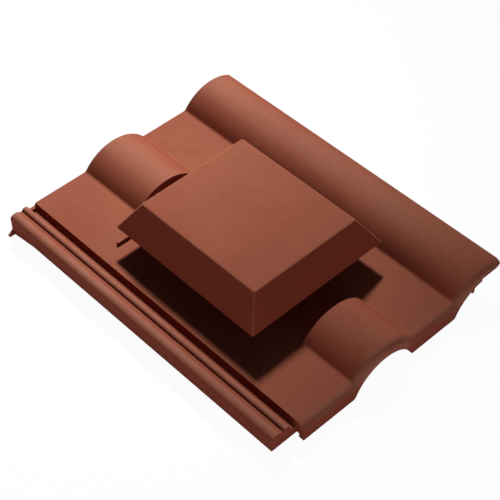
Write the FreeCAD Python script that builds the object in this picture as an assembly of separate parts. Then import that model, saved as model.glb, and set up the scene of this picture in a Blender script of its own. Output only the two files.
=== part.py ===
import FreeCAD, Part
import math
import os

from FreeCAD import Vector

# Roof tile vent: a moulded double-roll tile whose air opening is covered by a splayed cowl.
# Millimetres. X runs across the tile from the underlock strip to the overlock edge, Y from tail to head,
# Z up. The tile lies level on its tail lip and its hanging lugs, and the origin is under its middle.

# Tile, across
strip_width = 34.0
left_pan_width = 69.0
roll_width = 90.0
right_pan_width = 60.0
overlock_width = 73.5
roll_height = 21.5
roll_foot_radius = 5.0

# Tile, along and down
tile_length = 420.0
wall = 3.2
lip_depth = 22.5
lip_thickness = 6.5
nose_radius = 9.0
side_depth = 17.0
strip_setback = 9.5
arch_rise = 29.0
arch_foot_cut = 0.4

# Underlock strip
rib_width = 13.0
rib_height = 3.0
rib_gap = 2.5
inner_rib_width = 8.5
groove_depth = 6.5
groove_floor = 5.0
groove_slope = 2.0

# Overlock edge
rebate_width = 31.0
overlock_drop = 9.5
edge_wall = 3.6

# Hanging lugs at the head
lug_width = 40.0
lug_thickness = 4.0
lug_reach = 38.0
lug_flare = 7.0
right_lug_inset = 10.0

# Cowl, placed from the middle roll and from the middle of the tile's length
cowl_shift_x = 6.0
cowl_shift_y = -6.0
cowl_top_x = 144.0
cowl_top_y = 170.5
cowl_foot_x = 187.0
cowl_foot_y = 210.0
cowl_rise = 34.0
cowl_gap = 25.8
cowl_wall = 3.0
cowl_edge_radius = 2.5

# Break in the middle roll, measured from the cowl's foot
roll_clear_front = 25.0
roll_clear_back = 20.0

# Kerb round the air opening, and the throat below it
opening_x = 112.0
opening_y = 132.0
opening_corner = 8.0
kerb_wall = 3.0
kerb_height = 40.0
throat_depth = 19.0
ledge_width = 3.0
ledge_thickness = 2.5
ledge_below_rim = 9.0

# Water bar behind the kerb
bar_height = 3.5
bar_width = 3.0
bar_overhang = 1.5
bar_inset = 1.0

# Insect grille
grille_clearance = 0.3
grille_thickness = 2.4
grille_border = 6.0
slot_width = 4.0
slot_pitch = 6.2
slot_rows = 3
slot_bridge = 4.0

# Posts, bosses and screws
post_radius = 5.0
post_clear = 3.0
boss_radius = 7.0
boss_rise = 6.0
screw_radius = 2.0
screw_clearance = 0.3
screw_grip = 16.0
screw_head_radius = 4.0
screw_head_height = 2.6
screw_tip = 3.0
pilot_spare = 2.0

# Stiffening ribs under the pans
stiffener_depth = 6.0
stiffener_width = 2.4
stiffener_pitch = 62.0

# Places worked out from the sizes above
overall_width = strip_width + left_pan_width + roll_width + right_pan_width + overlock_width
x_strip = (lug_flare - overall_width) / 2
x_pan = x_strip + strip_width
x_roll = x_pan + left_pan_width
x_roll_mid = x_roll + roll_width / 2
x_cowl = x_roll_mid + cowl_shift_x
x_right_pan = x_roll + roll_width
x_over = x_right_pan + right_pan_width
x_over_mid = x_over + roll_width / 2
x_edge = x_over + overlock_width
x_web = x_edge - rebate_width
y_tail = -tile_length / 2
y_head = tile_length / 2
y_strip_tail = y_tail + strip_setback
z_pan = lip_depth
z_under = z_pan - wall
z_side = z_pan - side_depth
z_overlock = z_pan + overlock_drop
y_roll_front = cowl_shift_y - cowl_foot_y / 2 - roll_clear_front
y_roll_back = cowl_shift_y + cowl_foot_y / 2 + roll_clear_back
z_cowl_foot = z_pan + cowl_gap
z_cowl_top = z_cowl_foot + cowl_rise
z_kerb = z_pan + kerb_height
z_ledge = z_kerb - ledge_below_rim
z_boss = z_pan + boss_rise
z_screw_seat = z_under - stiffener_depth
post_x = opening_x / 2 + kerb_wall + post_clear + post_radius
post_y = opening_y / 2 + kerb_wall + post_clear + post_radius
spare = 1.0


def point(x, z, y=0.0):
    return Vector(x, y, z)


def segment(a, b):
    return Part.makeLine(point(*a), point(*b))


def arc(a, via, b):
    return Part.Arc(point(*a), point(*via), point(*b)).toShape()


def chain(corners):
    return [segment(a, b) for a, b in zip(corners, corners[1:])]


def bar_of(edges, y0, y1):
    """A section in the XZ plane, carried along the tile from y0 to y1."""
    face = Part.Face(Part.Wire(Part.__sortEdges__(edges)))
    return face.translated(Vector(0, y0, 0)).extrude(Vector(0, y1 - y0, 0))


def block(x0, x1, y0, y1, z0, z1):
    return Part.makeBox(x1 - x0, y1 - y0, z1 - z0, Vector(x0, y0, z0))


def fuse_all(first, others):
    return first.multiFuse(others).removeSplitter()


class Roll:
    """Round roll of a tile: a crest arc that runs into the pans over small foot arcs."""

    def __init__(self, mid, rise, base, foot=roll_foot_radius, half=roll_width / 2):
        reach = (half ** 2 + rise ** 2) / (2 * rise)
        self.mid = mid
        self.half = half
        self.base = base
        self.foot = foot
        self.radius = reach - foot
        self.centre_z = base + rise - self.radius
        self.lean = math.atan2(half, reach - rise)

    def crest(self, angle, inset=0.0):
        r = self.radius - inset
        return (self.mid + r * math.sin(angle), self.centre_z + r * math.cos(angle))

    def crest_angle(self, x, inset=0.0):
        return math.asin((x - self.mid) / (self.radius - inset))

    def foot_point(self, side, angle):
        x = self.mid + side * (self.half - self.foot * math.sin(angle))
        return (x, self.base + self.foot - self.foot * math.cos(angle))

    def foot_arc(self, side):
        pan_end = self.foot_point(side, 0)
        return arc(pan_end, self.foot_point(side, self.lean / 2), self.crest(side * self.lean))

    def crest_arc(self, start, end, inset=0.0):
        middle = (start + end) / 2
        return arc(self.crest(start, inset), self.crest(middle, inset), self.crest(end, inset))

    def half_at(self, z, inset):
        """Half width of the inset crest circle at a height."""
        return math.sqrt((self.radius - inset) ** 2 - (z - self.centre_z) ** 2)


middle_roll = Roll(x_roll_mid, roll_height, z_pan)
right_roll = Roll(x_over_mid, roll_height, z_pan)
edge_angle = right_roll.crest_angle(x_edge)


def tile_section(with_roll, z_low):
    """Outer section of the pans and rolls, closed along the underside."""
    edges = [segment((x_pan, z_low), (x_pan, z_pan))]
    if with_roll:
        edges.append(segment((x_pan, z_pan), (x_roll, z_pan)))
        edges.append(middle_roll.foot_arc(-1))
        edges.append(middle_roll.crest_arc(-middle_roll.lean, middle_roll.lean))
        edges.append(middle_roll.foot_arc(1))
        edges.append(segment((x_right_pan, z_pan), (x_over, z_pan)))
    else:
        edges.append(segment((x_pan, z_pan), (x_over, z_pan)))
    edges.append(right_roll.foot_arc(-1))
    edges.append(right_roll.crest_arc(-right_roll.lean, edge_angle))
    return edges + chain([right_roll.crest(edge_angle), (x_edge, z_low), (x_pan, z_low)])


def strip_section():
    """Outer section of the underlock strip: two round ribs, then the deep groove beside the pan."""
    rib_end = x_strip + rib_width
    inner_start = rib_end + rib_gap
    inner_end = inner_start + inner_rib_width
    floor_end = x_pan - groove_slope
    floor_start = floor_end - groove_floor
    z_floor = z_pan - groove_depth
    edges = [segment((x_strip, z_side), (x_strip, z_pan))]
    edges.append(arc((x_strip, z_pan), (x_strip + rib_width / 2, z_pan + rib_height), (rib_end, z_pan)))
    edges.append(segment((rib_end, z_pan), (inner_start, z_pan)))
    crown = (inner_start + inner_rib_width / 2, z_pan + rib_height)
    edges.append(arc((inner_start, z_pan), crown, (inner_end, z_pan)))
    groove = [(inner_end, z_pan), (floor_start, z_floor), (floor_end, z_floor), (x_pan, z_pan)]
    edges += chain(groove)
    return edges + chain([(x_pan, z_pan), (x_pan, z_side), (x_strip, z_side)])


def tail_edges(solid):
    """Upper edges of the tail face, which the nose rounds off."""
    found = []
    for edge in solid.Edges:
        box = edge.BoundBox
        if box.YMax < y_tail + 0.01 and box.ZMin > z_pan - 0.01 and box.XLength > 0.01:
            found.append(edge)
    return found


def tile_outside():
    y_lip = y_tail + lip_thickness
    bars = [
        bar_of(tile_section(True, z_side), y_lip, y_roll_front),
        bar_of(tile_section(False, z_side), y_roll_front, y_roll_back),
        bar_of(tile_section(True, z_side), y_roll_back, y_head),
    ]
    body = fuse_all(bar_of(tile_section(True, 0.0), y_tail, y_lip), bars)
    body = body.makeFillet(nose_radius, tail_edges(body))
    rebate = block(x_web, x_edge + spare, y_tail - spare, y_head + spare, -spare, z_overlock)
    return body.cut(rebate).fuse(bar_of(strip_section(), y_strip_tail, y_head)).removeSplitter()


def lip_arch(roll, x_stop=None):
    """Arched cut in the tail lip under a roll, which straddles the roll of the course below."""
    arch = Roll(roll.mid, arch_rise, -arch_foot_cut)
    edges = [arch.foot_arc(-1)]
    if x_stop is None:
        edges += [arch.crest_arc(-arch.lean, arch.lean), arch.foot_arc(1)]
        last = arch.foot_point(1, 0)
    else:
        stop = arch.crest_angle(x_stop)
        edges.append(arch.crest_arc(-arch.lean, stop))
        last = arch.crest(stop)
    first = arch.foot_point(-1, 0)
    low = -arch_foot_cut - spare
    edges += chain([last, (last[0], low), (first[0], low), first])
    return bar_of(edges, y_tail - spare, y_tail + lip_thickness + spare)


def inner_arch(roll, x_from, x_to, z_low, inset=wall):
    """Section under a roll's crest, between two places across the tile."""
    start = roll.crest_angle(x_from, inset)
    end = roll.crest_angle(x_to, inset)
    first = roll.crest(start, inset)
    last = roll.crest(end, inset)
    return [roll.crest_arc(start, end, inset)] + chain([last, (x_to, z_low), (x_from, z_low), first])


def tile_hollows():
    """The moulding is open below: what lies under the pans, the rolls, the strip and the overlock."""
    y0 = y_tail + lip_thickness
    y1 = y_head - wall
    x0 = x_pan + wall
    x1 = x_web - wall
    under_pans = block(x0, x1, y0, y1, -spare, z_under)
    over_left = right_roll.mid - right_roll.half_at(z_under, wall)
    under_right = bar_of(inner_arch(right_roll, over_left, x1, z_under - spare), y0, y1)
    half = middle_roll.half_at(z_under, wall)
    left, right = x_roll_mid - half, x_roll_mid + half
    arch = inner_arch(middle_roll, left, right, z_under - spare)
    under_roll_tail = bar_of(arch, y0, y_roll_front - wall)
    under_roll_head = bar_of(arch, y_roll_back + wall, y1)
    over_end = x_edge - edge_wall
    under_edge = bar_of(inner_arch(right_roll, x_web, over_end, z_overlock - spare), y0, y1)
    return [under_pans, under_right, under_roll_tail, under_roll_head, under_edge] + strip_hollows(y1)


def strip_hollows(y1):
    y0 = y_strip_tail + wall
    x_step = x_pan - groove_slope - groove_floor - wall
    z_groove = z_pan - groove_depth - wall
    under_ribs = block(x_strip + wall, x_step, y0, y1, -spare, z_under)
    under_groove = block(x_strip + wall, x_pan, y0, y1, -spare, z_groove)
    return [under_ribs, under_groove]


def stiffeners():
    """Shallow ribs under the pans, across and along, between the walls of the moulding."""
    z0 = z_under - stiffener_depth
    z1 = z_under + wall / 2
    x0 = x_pan + wall / 2
    x1 = x_web - wall / 2
    half = stiffener_width / 2
    ribs = []
    count = int((tile_length - lip_thickness) / stiffener_pitch)
    step = (tile_length - lip_thickness - wall) / count
    for i in range(1, count):
        y = y_tail + lip_thickness + i * step
        ribs.append(block(x0, x1, y - half, y + half, z0, z1))
    y0 = y_tail + lip_thickness / 2
    y1 = y_head - wall / 2
    for side in (-1, 1):
        x = x_cowl + side * post_x
        ribs.append(block(x - half, x + half, y0, y1, z0, z1))
    return ribs


def hanging_lug(x0, x1, flare):
    """Head flange that hooks over the batten, with a gusset at each end."""
    y0 = y_head - lug_thickness
    y_toe = y_head - lug_reach
    corners = [(x0, z_side), (x0 - flare, 0.0), (x1, 0.0), (x1, z_under), (x0, z_under), (x0, z_side)]
    lug = [bar_of(chain(corners), y0, y_head)]
    for x in (x0, x1 - wall):
        side = [(y0, 0.0), (y_toe, z_side), (y_toe, z_under), (y0, z_under), (y0, 0.0)]
        edges = [Part.makeLine(Vector(x, *a), Vector(x, *b)) for a, b in zip(side, side[1:])]
        lug.append(Part.Face(Part.Wire(edges)).extrude(Vector(wall, 0, 0)))
    return lug


def rounded_tube(size_x, size_y, corner, z0, z1):
    """Upright rectangular prism with round corners, centred on the cowl."""
    x0, y0 = x_cowl - size_x / 2, cowl_shift_y - size_y / 2
    prism = block(x0, x0 + size_x, y0, y0 + size_y, z0, z1)
    return prism.makeFillet(corner, [e for e in prism.Edges if e.BoundBox.ZLength > z1 - z0 - 0.01])


def opening_prism(inset, z0, z1):
    return rounded_tube(opening_x - 2 * inset, opening_y - 2 * inset, opening_corner - inset, z0, z1)


def post_places():
    return [(x_cowl + sx * post_x, cowl_shift_y + sy * post_y) for sx in (-1, 1) for sy in (-1, 1)]


def rod(radius, x, y, z0, z1):
    return Part.makeCylinder(radius, z1 - z0, Vector(x, y, z0))


def base_tile():
    body = tile_outside()
    arches = [lip_arch(middle_roll), lip_arch(right_roll, x_web)]
    body = body.cut(arches + tile_hollows())
    left_lug = hanging_lug(x_strip, x_strip + lug_width, lug_flare)
    right_x = x_right_pan + right_lug_inset
    right_lug = hanging_lug(right_x, right_x + lug_width, 0.0)
    kerb = [opening_prism(-kerb_wall, z_pan - throat_depth, z_kerb)]
    bosses = [rod(boss_radius, x, y, z_screw_seat, z_boss) for x, y in post_places()]
    bar_half = cowl_foot_x / 2 + bar_overhang
    bar_y = cowl_shift_y + cowl_foot_y / 2 - bar_inset
    bar = block(x_cowl - bar_half, x_cowl + bar_half, bar_y - bar_width / 2, bar_y + bar_width / 2,
                z_under, z_pan + bar_height)
    body = body.multiFuse(stiffeners() + left_lug + right_lug + kerb + bosses + [bar])
    ways = [
        opening_prism(0.0, z_ledge, z_kerb + spare),
        opening_prism(ledge_width, z_ledge - ledge_thickness - spare, z_ledge + spare),
        opening_prism(0.0, -spare, z_ledge - ledge_thickness),
    ]
    hole = screw_radius + screw_clearance
    ways += [rod(hole, x, y, z_screw_seat - spare, z_boss + spare) for x, y in post_places()]
    return body.cut(ways).removeSplitter()


def cowl_half(foot, top, z, inset):
    """Half width of the cowl at a height, with its splayed side moved in square to itself."""
    slope = (foot - top) / 2 / cowl_rise
    return foot / 2 - slope * (z - z_cowl_foot) - inset * math.hypot(1, slope)


def splayed_block(z0, z1, inset):
    """Four-sided block with the cowl's slopes, from one height to another."""
    foot_x, top_x = [cowl_half(cowl_foot_x, cowl_top_x, z, inset) for z in (z0, z1)]
    foot_y, top_y = [cowl_half(cowl_foot_y, cowl_top_y, z, inset) for z in (z0, z1)]
    wedge = Part.makeWedge(-foot_x, z0, -foot_y, -top_y, -top_x, foot_x, z1, foot_y, top_y, top_x)
    wedge.rotate(Vector(0, 0, 0), Vector(1, 0, 0), 90)
    return wedge.translated(Vector(x_cowl, cowl_shift_y, 0))


def cowl_shell():
    hood = splayed_block(z_cowl_foot, z_cowl_top, 0.0)
    shared = [e for e in hood.Edges if e.BoundBox.ZMax > z_cowl_foot + 0.01]
    hollow = splayed_block(z_cowl_foot - spare, z_cowl_top - cowl_wall, cowl_wall)
    return hood.makeFillet(cowl_edge_radius, shared).cut(hollow)


def vent_cowl():
    shell = cowl_shell()
    z_roof = z_cowl_top - cowl_wall / 2
    posts = [rod(post_radius, x, y, z_boss, z_roof) for x, y in post_places()]
    pilot_end = z_boss + screw_grip + pilot_spare
    pilots = [rod(screw_radius, x, y, z_boss - spare, pilot_end) for x, y in post_places()]
    return shell.multiFuse(posts).cut(pilots).removeSplitter()


def insect_grille():
    size_x = opening_x - 2 * grille_clearance
    size_y = opening_y - 2 * grille_clearance
    z1 = z_ledge + grille_thickness
    plate = rounded_tube(size_x, size_y, opening_corner - grille_clearance, z_ledge, z1)
    row_length = (size_x - 2 * grille_border - (slot_rows - 1) * slot_bridge) / slot_rows
    count = int((size_y - 2 * grille_border + slot_pitch - slot_width) / slot_pitch)
    first_y = cowl_shift_y - ((count - 1) * slot_pitch + slot_width) / 2
    first_x = x_cowl - size_x / 2 + grille_border
    slots = []
    for row in range(slot_rows):
        x = first_x + row * (row_length + slot_bridge)
        for i in range(count):
            y = first_y + i * slot_pitch
            slots.append(block(x, x + row_length, y, y + slot_width, z_ledge - spare, z1 + spare))
    return plate.cut(slots)


def cowl_screw(x, y):
    """Pan-head screw, head down, with a pointed tip."""
    z_tip = z_boss + screw_grip
    crown = 0.4 * screw_head_height
    z_head = z_screw_seat - screw_head_height
    bow = (0.72 * screw_head_radius, z_head + 0.12 * screw_head_height)
    rim = (screw_head_radius, z_head + crown)
    edges = [arc((0, z_head), bow, rim)]
    edges += chain([
        rim,
        (screw_head_radius, z_screw_seat),
        (screw_radius, z_screw_seat),
        (screw_radius, z_tip - screw_tip),
        (0, z_tip),
        (0, z_head),
    ])
    screw = Part.Face(Part.Wire(edges)).revolve(Vector(0, 0, 0), Vector(0, 0, 1), 360)
    return screw.translated(Vector(x, y, 0))


def cowl_screws():
    return Part.makeCompound([cowl_screw(x, y) for x, y in post_places()])


os.makedirs("parts", exist_ok=True)
base_tile().exportStep("parts/base_tile.step")
vent_cowl().exportStep("parts/vent_cowl.step")
insect_grille().exportStep("parts/insect_grille.step")
cowl_screws().exportStep("parts/cowl_screws.step")
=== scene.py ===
import math

import bpy
from mathutils import Matrix, Vector


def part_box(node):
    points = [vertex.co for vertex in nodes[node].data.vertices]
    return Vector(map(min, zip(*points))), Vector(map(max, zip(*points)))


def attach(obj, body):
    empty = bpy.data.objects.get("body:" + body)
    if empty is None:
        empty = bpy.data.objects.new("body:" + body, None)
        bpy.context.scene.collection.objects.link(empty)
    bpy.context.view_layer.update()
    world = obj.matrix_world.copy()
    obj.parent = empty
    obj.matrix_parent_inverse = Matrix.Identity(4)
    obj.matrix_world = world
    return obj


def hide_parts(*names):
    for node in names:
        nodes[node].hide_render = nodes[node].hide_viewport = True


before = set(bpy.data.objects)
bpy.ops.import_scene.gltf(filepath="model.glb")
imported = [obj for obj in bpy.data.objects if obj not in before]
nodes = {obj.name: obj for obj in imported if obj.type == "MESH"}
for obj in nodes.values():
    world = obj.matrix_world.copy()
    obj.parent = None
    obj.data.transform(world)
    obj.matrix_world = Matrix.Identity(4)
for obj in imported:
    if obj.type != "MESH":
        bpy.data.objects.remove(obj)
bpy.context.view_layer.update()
scene = bpy.context.scene
scene.view_settings.view_transform = "Standard"

# Sockets of a mix node that mixes colours. Their names are shared with the sockets for numbers.
mix_factor = 0
mix_a = 6
mix_b = 7
mix_result = 2


def node(tree, kind, **sockets):
    """New shader node, with its sockets set by name."""
    made = tree.nodes.new(kind)
    for name, value in sockets.items():
        made.inputs[name.replace("_", " ")].default_value = value
    return made


def feed(tree, socket, value):
    """Sets a socket to a value, or links it where the value is a node's output."""
    if isinstance(value, bpy.types.NodeSocket):
        tree.links.new(value, socket)
    else:
        socket.default_value = value


def noise(tree, coords, scale, detail, rough):
    """Cloudy pattern around 0.5."""
    made = node(tree, "ShaderNodeTexNoise", Scale=scale, Detail=detail, Roughness=rough)
    tree.links.new(coords, made.inputs["Vector"])
    return made.outputs["Fac"]


def remap(tree, value, low, high, start=0.0, end=1.0):
    """Runs from start, where the value is low, to end, where it is high, and no further."""
    made = node(tree, "ShaderNodeMapRange", From_Min=low, From_Max=high, To_Min=start, To_Max=end)
    tree.links.new(value, made.inputs["Value"])
    return made.outputs["Result"]


def math_node(tree, operation, *values):
    """Result of one operation on outputs and numbers."""
    made = tree.nodes.new("ShaderNodeMath")
    made.operation = operation
    for socket, value in zip(made.inputs, values):
        feed(tree, socket, value)
    return made.outputs[0]


def mix(tree, factor, a, b):
    """Colour a where the factor is 0, and colour b where it is 1."""
    made = tree.nodes.new("ShaderNodeMix")
    made.data_type = "RGBA"
    for index, value in ((mix_factor, factor), (mix_a, a), (mix_b, b)):
        feed(tree, made.inputs[index], value)
    return made.outputs[mix_result]


def stretched(tree, coords, across, along, down):
    """Coordinates scaled apart, so that a noise runs in streaks."""
    made = tree.nodes.new("ShaderNodeMapping")
    made.inputs["Scale"].default_value = (across, along, down)
    tree.links.new(coords, made.inputs["Vector"])
    return made.outputs["Vector"]


def bump(tree, height, strength, distance, under=None):
    """Normal of a bumped surface, on top of another bump where one is given."""
    made = node(tree, "ShaderNodeBump", Strength=strength, Distance=distance)
    tree.links.new(height, made.inputs["Height"])
    if under is not None:
        tree.links.new(under, made.inputs["Normal"])
    return made.outputs["Normal"]


def split(tree, vector):
    """The x, y and z of a vector."""
    made = tree.nodes.new("ShaderNodeSeparateXYZ")
    tree.links.new(vector, made.inputs[0])
    return tuple(made.outputs)


def facing(tree):
    """The x, y and z of the surface's normal."""
    return split(tree, tree.nodes.new("ShaderNodeNewGeometry").outputs["Normal"])


def place_on_object(tree):
    """Coordinates of a point on the object, in metres."""
    return tree.nodes.new("ShaderNodeTexCoord").outputs["Object"]


def new_material(name):
    """New material, with its node tree and its shader."""
    mat = bpy.data.materials.new(name)
    mat.use_nodes = True
    tree = mat.node_tree
    return mat, tree, tree.nodes["Principled BSDF"]


def worn_edge_highlight(tree):
    """Rounded edges of the hood, where the surface turns from one flat side to the next: wear, and a
    painted highlight along them.
    """
    nx, ny, nz = facing(tree)
    # Painted highlight, with wear, on the rounded edges.
    past_sides = remap(tree, nz, low=0.57, high=0.7)
    short_of_top = remap(tree, nz, low=0.94, high=0.99, start=1.0, end=0.0)
    rim = math_node(tree, "MULTIPLY", past_sides, short_of_top)
    turn = math_node(tree, "ABSOLUTE", math_node(tree, "MULTIPLY", nx, ny))
    corner = remap(tree, turn, low=0.06, high=0.2, end=0.7)
    return math_node(tree, "MAXIMUM", rim, corner)


def worn_crest_sheen(tree):
    """High places of the tile: crests of the rolls, ribs and tail nose, paler from wear and from a
    painted sheen and highlight; on the crests it fades towards the tail, where less light falls.
    """
    x, y, z = split(tree, place_on_object(tree))
    # Painted sheen, with wear, on the roll crests, weaker towards the tail where less light falls.
    roll_top = remap(tree, z, low=0.039, high=0.0445, end=0.5)
    painted_sheen_off_tail = remap(tree, y, low=-0.16, high=-0.05, start=0.1)
    crest = math_node(tree, "MULTIPLY", roll_top, painted_sheen_off_tail)
    # Ribs and tail nose: paler from wear and a painted highlight.
    rib_top = remap(tree, z, low=0.0236, high=0.0256, end=0.8)
    on_strip = remap(tree, x, low=-0.127, high=-0.126, start=1.0, end=0.0)
    rib = math_node(tree, "MULTIPLY", rib_top, on_strip)
    at_tail = remap(tree, y, low=-0.2, high=-0.206, end=0.6)
    above_lip = remap(tree, z, low=0.012, high=0.02)
    nose = math_node(tree, "MULTIPLY", at_tail, above_lip)
    return math_node(tree, "MAXIMUM", math_node(tree, "MAXIMUM", crest, rib), nose)


def moulded(name, base, light, painted_shade_sides, dark, wear_and_highlight, roughness, specular, grain, rubbed_and_highlit=None):
    """Matt moulded plastic: mottled, sandy and scuffed, with painted shade that makes slopes and
    undersides darker and redder, and paler at high places and edges from wear and a painted highlight.
    """
    roughness_play = 0.05
    smoothest = roughness - roughness_play
    roughest = roughness + roughness_play
    fine_share = 0.6
    mat, tree, shader = new_material(name)
    coords = place_on_object(tree)
    broad = noise(tree, coords, scale=9.0, detail=3.0, rough=0.5)
    blotch = noise(tree, coords, scale=42.0, detail=4.0, rough=0.6)
    speck = noise(tree, coords, scale=520.0, detail=3.0, rough=0.6)
    fine = noise(tree, coords, scale=1500.0, detail=2.0, rough=0.5)
    streaks = stretched(tree, coords, across=310.0, along=26.0, down=120.0)
    scuff = noise(tree, streaks, scale=1.0, detail=3.0, rough=0.6)
    nz = facing(tree)[2]
    colour = mix(tree, remap(tree, broad, low=0.36, high=0.66), base, light)
    # Painted shade: slopes and undersides take the darker, redder colour, by the way the surface faces.
    colour = mix(tree, remap(tree, nz, low=0.55, high=0.97, start=1.0, end=0.0), colour, painted_shade_sides)
    colour = mix(tree, remap(tree, blotch, low=0.5, high=0.75, end=0.3), colour, dark)
    colour = mix(tree, remap(tree, speck, low=0.5, high=0.75, end=0.35), colour, dark)
    colour = mix(tree, remap(tree, scuff, low=0.66, high=0.8, end=0.2), colour, wear_and_highlight)
    # Scuffed high places and edges take the paler colour: wear, and a painted highlight.
    if rubbed_and_highlit:
        patchy = remap(tree, blotch, low=0.3, high=0.62, start=0.4, end=0.85)
        colour = mix(tree, math_node(tree, "MULTIPLY", rubbed_and_highlit(tree), patchy), colour, wear_and_highlight)
    matt = remap(tree, speck, low=0.3, high=0.7, start=smoothest, end=roughest)
    sand = bump(tree, speck, strength=grain, distance=0.0003)
    surface = bump(tree, fine, strength=grain * fine_share, distance=0.0001, under=sand)
    tree.links.new(colour, shader.inputs["Base Color"])
    tree.links.new(matt, shader.inputs["Roughness"])
    tree.links.new(surface, shader.inputs["Normal"])
    shader.inputs["Specular IOR Level"].default_value = specular
    return mat


def zinc(name):
    """Bright zinc on turned steel: cloudy passivation, fine turning lines and a few dull spots."""
    bluish = (0.52, 0.53, 0.54, 1)
    warm = (0.68, 0.67, 0.64, 1)
    dull = (0.3, 0.29, 0.27, 1)
    mat, tree, shader = new_material(name)
    coords = place_on_object(tree)
    cloud = noise(tree, coords, scale=420.0, detail=4.0, rough=0.6)
    spot = noise(tree, coords, scale=1700.0, detail=3.0, rough=0.6)
    rounds = stretched(tree, coords, across=300.0, along=300.0, down=5200.0)
    lines = noise(tree, rounds, scale=1.0, detail=2.0, rough=0.5)
    colour = mix(tree, remap(tree, cloud, low=0.35, high=0.65), bluish, warm)
    colour = mix(tree, remap(tree, spot, low=0.6, high=0.75, end=0.5), colour, dull)
    satin = remap(tree, cloud, low=0.3, high=0.7, start=0.28, end=0.46)
    turned = bump(tree, lines, strength=0.25, distance=0.00005)
    surface = bump(tree, spot, strength=0.2, distance=0.00006, under=turned)
    tree.links.new(colour, shader.inputs["Base Color"])
    tree.links.new(satin, shader.inputs["Roughness"])
    tree.links.new(surface, shader.inputs["Normal"])
    shader.inputs["Metallic"].default_value = 1.0
    return mat


def paint(name, mat):
    """Gives a node of the frame one material."""
    data = nodes[name].data
    data.materials.clear()
    data.materials.append(mat)


# In each table the colour for slopes and undersides is painted shade.
terracotta = {
    "base": (0.345, 0.093, 0.052, 1),
    "light": (0.375, 0.118, 0.064, 1),
    "painted_shade_sides": (0.25, 0.045, 0.024, 1),
    "dark": (0.25, 0.06, 0.033, 1),
    "wear_and_highlight": (0.45, 0.19, 0.13, 1),
}
hood_terracotta = {
    "base": (0.395, 0.108, 0.058, 1),
    "light": (0.424, 0.13, 0.07, 1),
    "painted_shade_sides": (0.335, 0.061, 0.032, 1),
    "dark": (0.29, 0.073, 0.038, 1),
    "wear_and_highlight": (0.48, 0.155, 0.092, 1),
}
black = {
    "base": (0.02, 0.019, 0.018, 1),
    "light": (0.03, 0.028, 0.026, 1),
    "painted_shade_sides": (0.018, 0.017, 0.016, 1),
    "dark": (0.012, 0.012, 0.011, 1),
    "wear_and_highlight": (0.06, 0.056, 0.052, 1),
}
sandy = {"roughness": 0.7, "specular": 0.06, "grain": 0.22}
smooth = {"roughness": 0.6, "specular": 0.4, "grain": 0.2}
paint("base_tile", moulded("tile_terracotta", rubbed_and_highlit=worn_crest_sheen, **sandy, **terracotta))
paint("vent_cowl", moulded("cowl_terracotta", rubbed_and_highlit=worn_edge_highlight, **sandy, **hood_terracotta))
paint("insect_grille", moulded("grille_black", **smooth, **black))

# The frame's meshes are split along the borders of their faces. The weld closes them and moves nothing.
weld_distance = 0.000001
for name in ("base_tile", "vent_cowl", "insect_grille"):
    closed = nodes[name].modifiers.new("closed", "WELD")
    closed.merge_threshold = weld_distance

# Screws, in metres: pan head with a cross recess, plain neck, coarse thread and a pointed tip.
# They stay inside the plain solids of the node that they stand for.
head_radius = 0.004
head_height = 0.0026
crown_share = 0.4
crown = crown_share * head_height
crown_power = 3.665
crown_rings = (0.68, 0.8, 0.89, 0.95, 0.985, 1.0)
rim_break = 0.00015
neck_radius = 0.00195
neck_fillet = 0.0002
recess_reach = 0.0021
recess_half_width = 0.0005
recess_depth = 0.0014
recess_floor = 0.55
thread_root = 0.00145
thread_pitch = 0.0018
thread_share = 0.7
thread_grip = 0.016
tip_length = 0.003
tip_radius = 0.00015
steps_per_turn = 8
points_per_ring = 24
sharp_angle = math.radians(38)


def circle(radius, z):
    """Ring of points, which starts where the outline of the recess does."""
    turn = 2 * math.pi / points_per_ring
    start = -math.pi / 4
    return [(radius * math.cos(start + k * turn), radius * math.sin(start + k * turn), z)
            for k in range(points_per_ring)]


def cross(reach, half_width):
    """Outline of the recess, from one inner corner round to the same corner, as x and y."""
    arm = [(half_width, -half_width), (reach, -half_width), (reach, half_width)]
    corners = []
    for c, s in ((1, 0), (0, 1), (-1, 0), (0, -1)):
        corners += [(x * c - y * s, x * s + y * c) for x, y in arm]
    parts = points_per_ring // len(corners)
    outline = []
    for (x0, y0), (x1, y1) in zip(corners, corners[1:] + corners[:1]):
        outline += [(x0 + (x1 - x0) * k / parts, y0 + (y1 - y0) * k / parts) for k in range(parts)]
    return outline


def crown_height(radius):
    """How far the domed top of the head has fallen back at a radius."""
    return crown * (radius / head_radius) ** crown_power


def thread_ring(z, start, end):
    """One level of the thread: the ridge winds round the root, and both narrow over the tip."""
    taper = min(1.0, max((end - z) / tip_length, tip_radius / neck_radius))
    rise = min(1.0, (z - start) / thread_pitch) * (neck_radius - thread_root)
    ring = []
    for k, (x, y, level) in enumerate(circle(1.0, z)):
        phase = ((z - start) / thread_pitch - k / points_per_ring) % 1.0
        ridge = max(0.0, 1.0 - abs(2 * phase - 1.0) / thread_share)
        radius = taper * (thread_root + rise * ridge)
        ring.append((radius * x, radius * y, level))
    return ring


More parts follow.
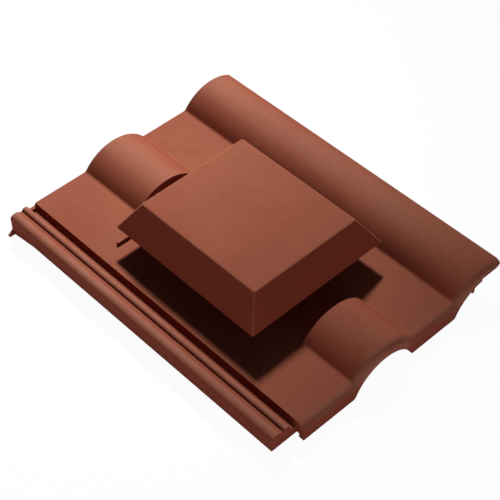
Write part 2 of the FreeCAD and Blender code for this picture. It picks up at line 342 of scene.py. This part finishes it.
def screw_rings(length):
    """Rings from the recess's floor, over the head and along the shank, with the head's top at z = 0."""
    grip_start = length - thread_grip
    recess_bottom = cross(recess_floor * recess_reach, recess_floor * recess_half_width)
    recess_mouth = cross(recess_reach, recess_half_width)
    rings = [[(x, y, recess_depth) for x, y in recess_bottom]]
    rings.append([(x, y, crown_height(math.hypot(x, y))) for x, y in recess_mouth])
    for share in crown_rings:
        rings.append(circle(share * head_radius, crown_height(share * head_radius)))
    rings.append(circle(head_radius, head_height - rim_break))
    rings.append(circle(head_radius - rim_break, head_height))
    rings.append(circle(neck_radius + neck_fillet, head_height))
    rings.append(circle(neck_radius, head_height + neck_fillet))
    rings.append(circle(neck_radius, grip_start - thread_pitch))
    levels = int(thread_grip / thread_pitch * steps_per_turn)
    for level in range(levels):
        rings.append(thread_ring(grip_start + thread_grip * level / levels, grip_start, length))
    return rings


def screw_set(name, node_name):
    """The four screws as one mesh, where the node's own screws are."""
    low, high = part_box(node_name)
    length = high.z - low.z
    rings = screw_rings(length)
    verts = []
    faces = []
    for x in (low.x + head_radius, high.x - head_radius):
        for y in (low.y + head_radius, high.y - head_radius):
            first = len(verts)
            verts.append((x, y, low.z + recess_depth))
            for ring in rings:
                verts += [(x + px, y + py, low.z + pz) for px, py, pz in ring]
            verts.append((x, y, high.z))
            last = len(verts) - 1
            end = last - points_per_ring
            for k in range(points_per_ring):
                after = (k + 1) % points_per_ring
                faces.append((first, first + 1 + after, first + 1 + k))
                for level in range(len(rings) - 1):
                    a = first + 1 + level * points_per_ring
                    b = a + points_per_ring
                    faces.append((a + k, a + after, b + after, b + k))
                faces.append((end + k, end + after, last))
    mesh = bpy.data.meshes.new(name)
    mesh.from_pydata(verts, [], faces)
    mesh.polygons.foreach_set("use_smooth", [True] * len(mesh.polygons))
    mesh.set_sharp_from_angle(angle=sharp_angle)
    mesh.materials.append(zinc("screw_zinc"))
    obj = bpy.data.objects.new(name, mesh)
    scene.collection.objects.link(obj)
    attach(obj, "root")
    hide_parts(node_name)


screw_set("cowl_screw_set", "cowl_screws")

# The studio: white paper below, white all round, and three softboxes.
white = (1, 1, 1, 1)
floor_size = 8.0
floor_level = -0.0005
paper_grey = (0.85, 0.85, 0.85, 1)
paper_roughness = 0.9
glow_share = 0.93
glow_strength = 1.03
world_light = 0.01


def seen_directly(tree):
    """1 for rays that show the background: from the camera, in a reflection or through glass."""
    path = tree.nodes.new("ShaderNodeLightPath")
    seen = math_node(tree, "MAXIMUM", path.outputs["Is Camera Ray"], path.outputs["Is Glossy Ray"])
    return math_node(tree, "MAXIMUM", seen, path.outputs["Is Transmission Ray"])


bpy.ops.mesh.primitive_plane_add(size=floor_size, location=(0, 0, floor_level))
floor = bpy.context.object
floor.name = "floor"
paper, tree, paper_shader = new_material("floor_paper")
paper_shader.inputs["Base Color"].default_value = paper_grey
paper_shader.inputs["Roughness"].default_value = paper_roughness
share = math_node(tree, "MULTIPLY", seen_directly(tree), glow_share)
glow = node(tree, "ShaderNodeEmission", Color=white, Strength=glow_strength)
joined = tree.nodes.new("ShaderNodeMixShader")
tree.links.new(share, joined.inputs[0])
tree.links.new(paper_shader.outputs[0], joined.inputs[1])
tree.links.new(glow.outputs[0], joined.inputs[2])
tree.links.new(joined.outputs[0], tree.nodes["Material Output"].inputs["Surface"])
floor.data.materials.append(paper)

world = bpy.data.worlds.new("studio")
scene.world = world
world.use_nodes = True
tree = world.node_tree
back = tree.nodes["Background"]
back.inputs["Color"].default_value = white
strength = remap(tree, seen_directly(tree), low=0.0, high=1.0, start=world_light)
tree.links.new(strength, back.inputs["Strength"])


def lamp(name, place, aim, size, spread, power):
    """Softbox with a grid, aimed at a point: round for one size, a strip for two."""
    data = bpy.data.lights.new(name, "AREA")
    if isinstance(size, tuple):
        data.shape = "RECTANGLE"
        data.size, data.size_y = size
    else:
        data.shape = "DISK"
        data.size = size
    data.spread = math.radians(spread)
    data.energy = power
    obj = bpy.data.objects.new(name, data)
    scene.collection.objects.link(obj)
    obj.location = place
    obj.visible_camera = False
    obj.rotation_mode = "QUATERNION"
    obj.rotation_quaternion = (Vector(place) - Vector(aim)).to_track_quat("Z", "Y")


lamp("key", place=(1.435, 1.609, 2.05), aim=(0.0, 0.225, 0.02), size=0.33, spread=25.0, power=2.35)
lamp("fill", place=(-1.3, -0.95, 0.07), aim=(0.0, -0.05, 0.06),
     size=(1.4, 0.14), spread=180.0, power=4.7)
lamp("card", place=(0.02, -0.5, 0.08), aim=(0.0, -0.2, 0.012),
     size=(0.5, 0.06), spread=150.0, power=0.13)

# The camera, fitted to the photo: its axes and its place.
cam = bpy.data.cameras.new("camera")
cam.sensor_width = 36.0
cam.lens = 101.2447
cam.clip_start = 0.05
cam.clip_end = 30.0
camera = bpy.data.objects.new("camera", cam)
scene.collection.objects.link(camera)
right = Vector((0.725434, -0.688254, -0.007199))
down = Vector((-0.506676, -0.526908, -0.682384))
ahead = Vector((0.46586, 0.498672, -0.730959))
place = Vector((-0.70366, -0.7554, 1.12058))
camera.matrix_world = Matrix((
    (right.x, -down.x, -ahead.x, place.x),
    (right.y, -down.y, -ahead.y, place.y),
    (right.z, -down.z, -ahead.z, place.z),
    (0, 0, 0, 1),
))
scene.camera = camera
